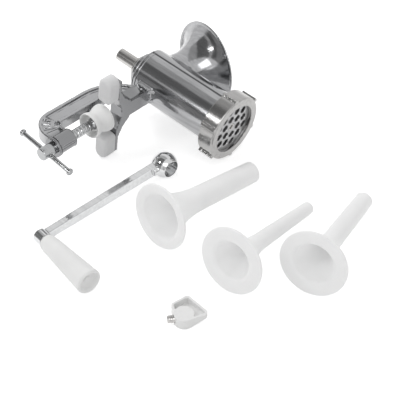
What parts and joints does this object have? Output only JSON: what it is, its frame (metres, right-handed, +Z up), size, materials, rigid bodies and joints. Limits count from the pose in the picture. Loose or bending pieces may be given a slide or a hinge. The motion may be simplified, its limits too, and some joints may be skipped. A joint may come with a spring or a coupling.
{
  "type": "meat grinder",
  "caption": "Hand crank meat grinder lying on its side: barrel with hopper, perforated plate in a ring nut, screw clamp, loose crank, thumb screw and stuffing tubes.",
  "frame": {"origin": "on the surface that the set lies on, in the middle of the set's bounding box", "axes": "+Z up from the surface; +X roughly along the barrel from the drive shaft towards the plate; +Y from the laid out accessories towards the grinder's hopper"},
  "size_m": [0.3412, 0.2937, 0.0949],
  "materials": {
    "cast_metal": "polished",
    "polished_steel": "polished",
    "screw_steel": "satin",
    "plate_steel": "satin",
    "feed_metal": "satin",
    "white_plastic": "satin",
    "tube_plastic": "satin"
  },
  "bodies": {
    "grinder_body": {"body_casting": "cast_metal", "rear_bearing_bush": "screw_steel", "plate_key_pin": "screw_steel", "jaw_foot_upper": "white_plastic", "jaw_foot_lower": "white_plastic"},
    "feed": {"feed_screw": "feed_metal", "drive_shaft": "screw_steel", "thrust_washer": "white_plastic", "knife_stud": "screw_steel", "cutting_knife": "screw_steel"},
    "plate": {"grinding_plate": "plate_steel"},
    "ring": {"ring_nut": "cast_metal"},
    "swivel": {"swivel_foot": "white_plastic"},
    "screw": {"clamp_screw": "polished_steel"},
    "bar": {"tommy_bar": "polished_steel", "tommy_bar_ends": "polished_steel"},
    "crank": {"crank_arm": "polished_steel", "grip_pin": "polished_steel"},
    "grip": {"crank_grip": "white_plastic"},
    "thumb_screw": {"thumb_screw_head": "white_plastic", "thumb_screw_stud": "polished_steel"},
    "tube_large": {"stuffing_tube_large": "tube_plastic"},
    "tube_medium": {"stuffing_tube_medium": "tube_plastic"},
    "tube_small": {"stuffing_tube_small": "tube_plastic"}
  },
  "joints": [
    {"name": "feed_screw_turn", "type": "hinge", "parent": "grinder_body", "child": "feed", "pos_m": [-0.07906, 0.0809, 0.04297], "axis": [0.9927, 0, -0.1205], "continuous": true},
    {"name": "plate_advance", "type": "slide", "parent": "grinder_body", "child": "plate", "axis": [0.9927, 0, -0.1205], "range_m": [0, 0.00705]},
    {"name": "ring_nut_turn", "type": "hinge", "parent": "plate", "child": "ring", "pos_m": [-0.0195, 0.0809, 0.03574], "axis": [0.9927, 0, -0.1205], "range_deg": [0, 1260]},
    {"name": "swivel_travel", "type": "slide", "parent": "grinder_body", "child": "swivel", "axis": [0.0045, -0.9993, 0.0368], "range_m": [0, 0.02005]},
    {"name": "clamp_screw_turn", "type": "hinge", "parent": "swivel", "child": "screw", "pos_m": [-0.11228, -0.03902, 0.05148], "axis": [0.0045, -0.9993, 0.0368], "range_deg": [0, 3600]},
    {"name": "tommy_bar_slide", "type": "slide", "parent": "screw", "child": "bar", "axis": [0.9766, -0.0036, -0.215], "range_m": [-0.0222, 0.0222]},
    {"name": "crank_lift", "type": "slide", "parent": "grinder_body", "child": "crank", "axis": [0, 0, 1], "range_m": [0, 0.15]},
    {"name": "grip_turn", "type": "hinge", "parent": "crank", "child": "grip", "pos_m": [-0.03499, -0.12952, 0.0126], "axis": [0.9888, -0.1495, 0], "continuous": true},
    {"name": "thumb_screw_lift", "type": "slide", "parent": "grinder_body", "child": "thumb_screw", "axis": [0, 0, 1], "range_m": [0, 0.15]},
    {"name": "large_tube_lift", "type": "slide", "parent": "grinder_body", "child": "tube_large", "axis": [0, 0, 1], "range_m": [0, 0.15]},
    {"name": "medium_tube_lift", "type": "slide", "parent": "grinder_body", "child": "tube_medium", "axis": [0, 0, 1], "range_m": [0, 0.15]},
    {"name": "small_tube_lift", "type": "slide", "parent": "grinder_body", "child": "tube_small", "axis": [0, 0, 1], "range_m": [0, 0.15]}
  ],
  "couplings": [
    {"joint": "plate_advance", "follows": "ring_nut_turn", "m_per_rad": 0.000318},
    {"joint": "swivel_travel", "follows": "clamp_screw_turn", "m_per_rad": 0.000318}
  ]
}
